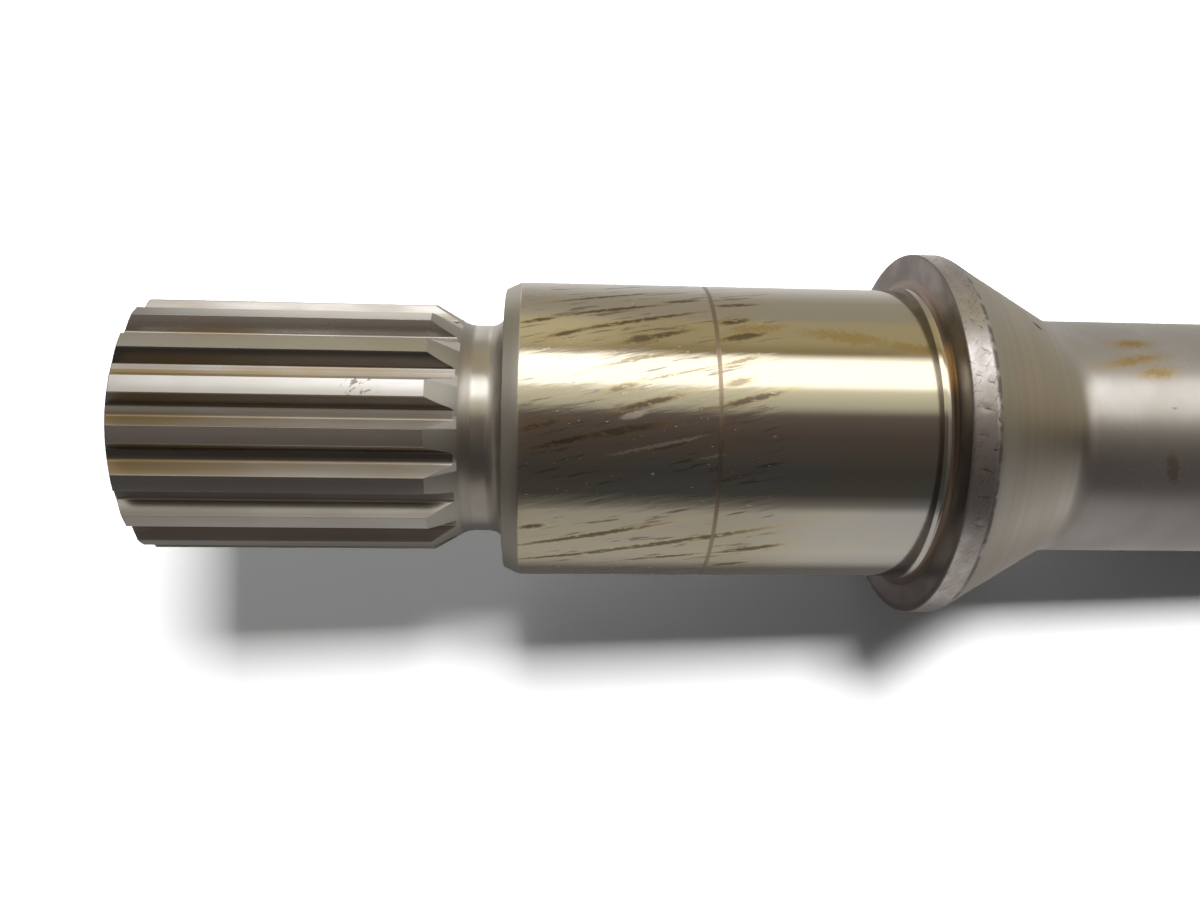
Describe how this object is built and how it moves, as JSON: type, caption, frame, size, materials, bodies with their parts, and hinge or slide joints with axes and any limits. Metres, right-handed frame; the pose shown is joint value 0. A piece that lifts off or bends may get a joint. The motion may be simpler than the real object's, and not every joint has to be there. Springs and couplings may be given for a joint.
{
  "type": "pump shaft",
  "caption": "Turned steel pump drive shaft with an involute splined end, relief groove, ground seal and bearing journal, shoulder collar, tapered back and plain neck.",
  "frame": {"origin": "centre of the flat tail face, on which the shaft stands", "axes": "+Z along the shaft's axis from the tail face to the splined end; one tooth is centred on +X"},
  "size_m": [0.056, 0.056, 0.1905],
  "materials": {
    "steel": "turned and ground, lightly stained"
  },
  "bodies": {
    "root": {"shaft": "steel"}
  },
  "joints": []
}
